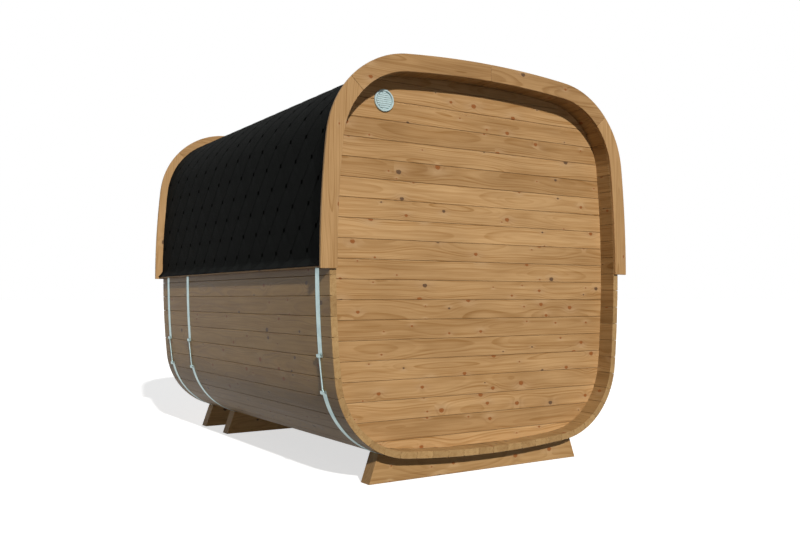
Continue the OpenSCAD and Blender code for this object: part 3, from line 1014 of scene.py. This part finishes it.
# ---- straps
LAY = 0.0004                # the band's inner face off the shell
BAND_T = 0.0018
BAND_HALF = 0.024
LUG_H, LUG_OUT = 0.020, 0.016
LUG_HALF = BAND_HALF - 0.0005
LUG_CUT = 0.003             # the lug's cut corners
UPPER_LUG_Z = 0.130         # above the lower corner's arc
LUGS_APART = 0.190
ROD_R, ROD_PAST = 0.005, 0.016
NUT_R, NUT_H = 0.0092, 0.008
ALONG_Y = Vector((0, 1, 0))


def strap_band(build, s0, s1, y):
    """A thin band along the shell from s0 to s1."""
    steps = max(8, int((s1 - s0) / 0.025))
    e = 0.0004
    w, top = BAND_HALF, LAY + BAND_T
    prof = [(LAY, -w), (top - e, -w), (top, -w + e), (top, w - e), (top - e, w), (LAY, w)]
    rings = []
    for k in range(steps + 1):
        s = s0 + (s1 - s0) * k / steps
        rings.append([(x, y + q, z) for (x, z), q in ((sec(s, off), q) for off, q in prof)])
    build.solid(rings, lambda p: (p[2] + p[0], p[1], 0.0), RND.random())


def basis(s, y, side):
    """Point on the shell, outward normal and the direction up along the section."""
    x0, z0 = sec(s, 0.0)
    x1, z1 = sec(s, 1.0)
    x2, z2 = sec(s + 0.001, 0.0)
    n = Vector((x1 - x0, 0, z1 - z0)).normalized()
    t = Vector((x2 - x0, 0, z2 - z0)).normalized()
    return Vector((side * x0, y, z0)), Vector((side * n.x, 0, n.z)), Vector((side * t.x, 0, t.z))


def plate(build, origin, ax, ay, az, poly, thick):
    """A polygon in the ax, ay plane, thickened along az, edges eased."""
    e = min(0.0005, thick / 4)
    rings = []
    for t, k in ((0.0, e), (e, 0.0), (thick - e, 0.0), (thick, e)):
        rings.append([tuple(origin + ax * a + ay * b + az * t) for a, b in inset(poly, k)])
    build.solid(rings, lambda p: (p[2], p[1], p[0]), 0.5)


def circle(c, u, v, r, steps):
    """Points round c in the plane of u and v."""
    angles = (2 * math.pi * i / steps for i in range(steps))
    return [tuple(c + u * r * math.cos(g) + v * r * math.sin(g)) for g in angles]


def rod_turned(build, p, axis, profile, steps=20):
    """A turned piece along the axis from p; profile of (radius, metres along)."""
    u = axis.orthogonal().normalized()
    v = axis.cross(u)

    def grain(pt):
        d = Vector(pt) - p
        return (d.dot(axis), d.dot(u), d.dot(v))
    build.solid([circle(p + axis * t, u, v, r, steps) for r, t in profile], grain, 0.5)


def hex_nut(build, p, axis):
    """A six-sided nut with its corners eased."""
    v = axis.cross(ALONG_Y).normalized()
    u = v.cross(axis)
    rings = []
    for t, k in ((0, 0.92), (0.0008, 1.0), (NUT_H - 0.0008, 1.0), (NUT_H, 0.92)):
        rings.append(circle(p + axis * t, u, v, NUT_R * k, 6))
    build.solid(rings, lambda q: (q[2], q[1], q[0]), 0.5)


def lug(build, s, y, side, up):
    """The strap's end turned out square: a plate facing the other lug, two cheeks and an outer leaf."""
    shell, n, t = basis(s, y, side)
    t = t * up
    o = shell + n * (LAY + CLEAR)
    w, cut, out = LUG_HALF, LUG_CUT, LUG_OUT
    plate(build, o, ALONG_Y, n, t,
          [(-w, 0), (w, 0), (w, out - cut), (w - cut, out), (-w + cut, out), (-w, out - cut)], 0.003)
    cheek = [(0.002, 0), (LUG_H, 0), (LUG_H, 0.004), (0.004, out - 0.001), (0.002, out - 0.001)]
    for k in (-w, w - 0.0025):
        plate(build, o + ALONG_Y * k, t, n, ALONG_Y, cheek, 0.0025)
    leaf = [(-w, cut), (w, cut), (w, LUG_H - cut), (w - cut, LUG_H), (-w + cut, LUG_H), (-w, LUG_H - cut)]
    plate(build, shell + n * (LAY + out - 0.0022), ALONG_Y, t, n, leaf, 0.002)


def tie_rod(build, top, low):
    """A threaded rod through two lugs, with a nut and a washer at each."""
    axis = (top - low).normalized()
    start = low - axis * ROD_PAST
    length = (top + axis * ROD_PAST - start).length
    r = ROD_R
    rod_turned(build, start, axis, [(r - 0.001, 0), (r, 0.001), (r, length - 0.001), (r - 0.001, length)])
    hex_nut(build, top + axis * 0.0032, axis)
    hex_nut(build, low - axis * 0.0032, -axis)
    for end, inward in ((top, -axis), (low, axis)):
        rod_turned(build, end, inward, [(0.0098, 0.0003), (0.0098, 0.0018)], 24)


def straps():
    z_up = UPPER_LUG_Z - (CORNER_Z + R_CORNER * math.sin(SIDE_ANG))
    z_low = z_up - LUGS_APART
    s_up = R_SIDE * math.asin(z_up / R_SIDE)
    ang = math.asin((-z_low - CORNER_Z) / R_CORNER)
    s_low = -(SIDE_LEN + R_CORNER * (ang - SIDE_ANG))
    halves = (("upper", s_up, 1, s_up, 2 * QUARTER - s_up),
              ("lower", s_low, -1, 2 * QUARTER - s_low, 4 * QUARTER + s_low))
    for name in ("rear", "middle", "front"):
        lo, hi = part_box("strap_%s_upper" % name)
        y = (lo[1] + hi[1]) / 2
        for half, s, up, s0, s1 in halves:
            band = Build()
            strap_band(band, s0, s1, y)
            for side in (1, -1):
                lug(band, s, y, side, up)
            band.make("band_%s_%s" % (name, half), STEEL, "strap_steel", "strap_%s_%s" % (name, half))
        rods = Build()
        for side in (1, -1):
            (top, n_top, _), (low, n_low, _) = basis(s_up, y, side), basis(s_low, y, side)
            tie_rod(rods, top + n_top * (LAY + LUG_OUT / 2), low + n_low * (LAY + LUG_OUT / 2))
        rods.make("tie_%s_rods" % name, ROD, "strap_steel", "strap_%s_rods" % name)


straps()


# ---- legs
LEG_FOOT = 0.823            # half the leg's length on the ground
LEG_LEAN = math.tan(math.radians(19.5))
LEG_CLEAR = 0.0026          # between the cradle and the shell


def cradle():
    """The leg's outline: its foot, then the curve under the shell from one leaning end to the other."""
    fine, steps = 400, 40
    for i in range(fine):
        s = -QUARTER + QUARTER * i / fine
        x, z = sec(s, LEG_CLEAR)
        if x > LEG_FOOT - z * LEG_LEAN:
            break
        edge = s
    arc = [sec(edge + (-2 * QUARTER - 2 * edge) * i / steps, LEG_CLEAR) for i in range(steps + 1)]
    return [(-LEG_FOOT, 0.0), (LEG_FOOT, 0.0)] + arc


def legs():
    poly = cradle()
    e = 0.003
    for name in ("leg_rear", "leg_middle", "leg_front"):
        lo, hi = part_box(name)
        y0, y1 = lo[1], hi[1]
        rings = []
        for y, d in ((y0, e), (y0 + e, 0.0), (y1 - e, 0.0), (y1, e)):
            rings.append([(x, y, max(0.0, z)) for x, z in inset(poly, d)])
        build = Build()
        build.solid(rings, random_grain("x", (0, (y0 + y1) / 2, 0.08), spread=0.03), RND.random())
        build.make(name + "_plank", LEG, "leg_wood", name)


legs()


# ---- vent
VENT_BORE = VENT_R - 0.012
VENT_BACK = 0.0030
VENT_TUBE = (0.0470, 0.0499)    # inner and outer radius
SLATS = 9
RIB_HALF = 0.002


def vent():
    """A rounded flange on a tube, and level slats on two ribs inside it."""
    ring = Build()
    inside, outside = VENT_TUBE
    lathe(ring, [(inside, -WALL_T), (outside, -WALL_T), (outside, 0.0001), (VENT_R - 0.001, 0.0001),
                 (VENT_R, 0.0015), (VENT_R - 0.0004, 0.0085), (VENT_R - 0.0022, 0.0112),
                 (VENT_R - 0.0055, 0.0119), (VENT_BORE + 0.0020, 0.0114), (VENT_BORE, 0.0092),
                 (VENT_BORE, VENT_BACK), (inside, VENT_BACK)], (VENT_X, REAR_Y, VENT_Z), 96, "y")
    ring.make("vent_flange", ENAMEL, "vent_metal", "vent_ring")
    grille = Build()
    r = VENT_BORE - 0.0025
    step = 2 * VENT_BORE / SLATS
    for i in range(SLATS):
        zc = -VENT_BORE + step * (i + 0.5)
        za, zb = zc - 0.46 * step, zc + 0.46 * step
        far = max(abs(za), abs(zb))
        reach = math.sqrt(r * r - far * far) if far < r else 0.012
        rings = []
        for x, k in ((-reach, 0.0006), (-reach + 0.0008, 0.0), (reach - 0.0008, 0.0), (reach, 0.0006)):
            slat = [(za + k, 0.0080 - k), (za + 0.0012 + k, 0.0089 - k), (zb - 0.0008 - k, 0.0072 - k),
                    (zb - k, 0.0064 - k), (zb - k, 0.0050 + k), (za + k, 0.0052 + k)]
            rings.append([(VENT_X + x, REAR_Y + d, VENT_Z + z) for z, d in slat])
        grille.solid(rings, lambda p: p, 0.5)
    for x in (-VENT_BORE / 2, VENT_BORE / 2):
        h = math.sqrt(r * r - (abs(x) + RIB_HALF) ** 2)
        bar(grille, (VENT_X + x - RIB_HALF, REAR_Y + VENT_BACK + 0.0001, VENT_Z - h),
            (VENT_X + x + RIB_HALF, REAR_Y + 0.0055, VENT_Z + h), "z", 0.0004)
    grille.make("vent_louvres", ENAMEL, "vent_metal", "vent_grille")


vent()

# ---- stage, light and camera
AMBIENT = 0.065             # the world's light on surfaces; seen directly or mirrored it is white
FLOOR_REACH = 400.0

scene = bpy.context.scene
scene.view_settings.view_transform = "Standard"


def floor():
    """A pale floor that keeps shadows, looks white and throws little light back up."""
    m = Surface("floor")
    m.tree.nodes.remove(m.bsdf)
    path = m.new("ShaderNodeLightPath")
    seen = m.seen(path)
    diffuse = m.new("ShaderNodeBsdfDiffuse")
    m.put(diffuse.inputs[0], m.mix(seen, rgb(0.035, 0.035, 0.035), rgb(0.8, 0.8, 0.8)))
    glow = m.new("ShaderNodeEmission")
    m.put(glow.inputs["Strength"], m.add(m.mul(seen, 0.36), m.mul(path.outputs["Is Camera Ray"], 0.30)))
    both = m.new("ShaderNodeAddShader")
    m.put(both.inputs[0], diffuse.outputs[0])
    m.put(both.inputs[1], glow.outputs[0])
    m.put(m.out.inputs[0], both.outputs[0])
    mesh = bpy.data.meshes.new("floor")
    r = FLOOR_REACH
    mesh.from_pydata([(-r, -r, -0.001), (r, -r, -0.001), (r, r, -0.001), (-r, r, -0.001)], [], [(0, 1, 2, 3)])
    mesh.materials.append(m.mat)
    obj = bpy.data.objects.new("floor", mesh)
    scene.collection.objects.link(obj)


def sky():
    world = bpy.data.worlds.new("world")
    scene.world = world
    world.use_nodes = True
    m = Nodes(world.node_tree)
    level = m.new("ShaderNodeMix", data_type="FLOAT")
    m.put(level.inputs[0], m.seen(m.new("ShaderNodeLightPath")))
    level.inputs[2].default_value = AMBIENT
    level.inputs[3].default_value = 1.0
    white = m.new("ShaderNodeBackground")
    white.inputs["Color"].default_value = rgb(1.0, 1.0, 1.0)
    m.put(white.inputs["Strength"], level.outputs[0])
    m.put(m.new("ShaderNodeOutputWorld").inputs[0], white.outputs[0])


def sun(name, energy, toward, glossy=True, **props):
    """A distant lamp whose light comes from the given direction."""
    light = bpy.data.lights.new(name, "SUN")
    light.energy = energy
    for k, v in props.items():
        setattr(light, k, v)
    obj = bpy.data.objects.new(name, light)
    obj.rotation_euler = (-Vector(toward)).to_track_quat("-Z", "Y").to_euler()
    obj.visible_glossy = glossy
    scene.collection.objects.link(obj)


floor()
sky()
sun("key", 3.3, (0.21, 0.853, 0.48), angle=math.radians(1.6), color=(1.0, 0.985, 0.96))
sun("fill", 0.22, (0.12, 0.99, 0.0), glossy=False, use_shadow=False)
sun("back", 1.5, (-0.50, -0.84, 0.24), glossy=False, angle=math.radians(20))

YAW, PITCH = math.radians(147.07), math.radians(2.19)
cam = bpy.data.cameras.new("camera")
cam.lens = 38.0
cam.sensor_width = 36.0
cam.clip_end = 2000
camera = bpy.data.objects.new("camera", cam)
camera.location = (3.3683, 5.6517, 1.0843)
look = Vector((-math.sin(YAW) * math.cos(PITCH), math.cos(YAW) * math.cos(PITCH), math.sin(PITCH)))
camera.rotation_euler = look.to_track_quat("-Z", "Y").to_euler()
scene.collection.objects.link(camera)
scene.camera = camera

bpy.context.view_layer.update()
